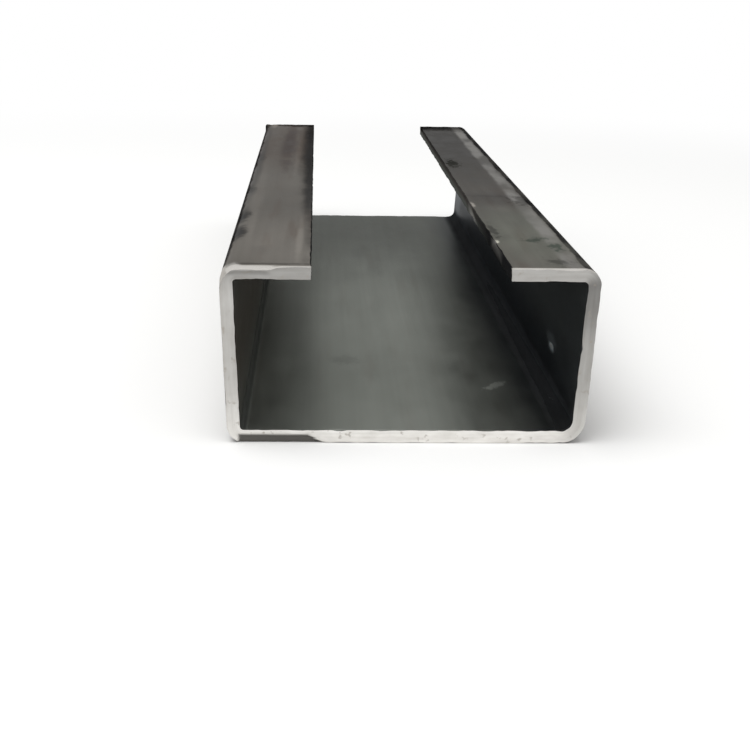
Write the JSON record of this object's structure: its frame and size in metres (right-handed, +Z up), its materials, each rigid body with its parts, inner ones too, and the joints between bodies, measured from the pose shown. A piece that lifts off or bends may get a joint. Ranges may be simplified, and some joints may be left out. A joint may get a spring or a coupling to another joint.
{
  "type": "lipped c channel",
  "caption": "Short length of cold-formed steel C channel with inturned lips, a flat web and open sawn ends, for framing, purlins and rails.",
  "frame": {"origin": "middle of the web's underside, halfway along the length", "axes": "+X across the web, +Y along the length, +Z up out of the mouth between the lips"},
  "size_m": [0.0828, 0.27, 0.04],
  "materials": {
    "mill_scale_steel": "dark satin mill scale over hot-rolled strip, with bare sawn ends"
  },
  "bodies": {
    "root": {"channel": "mill_scale_steel"}
  },
  "joints": []
}
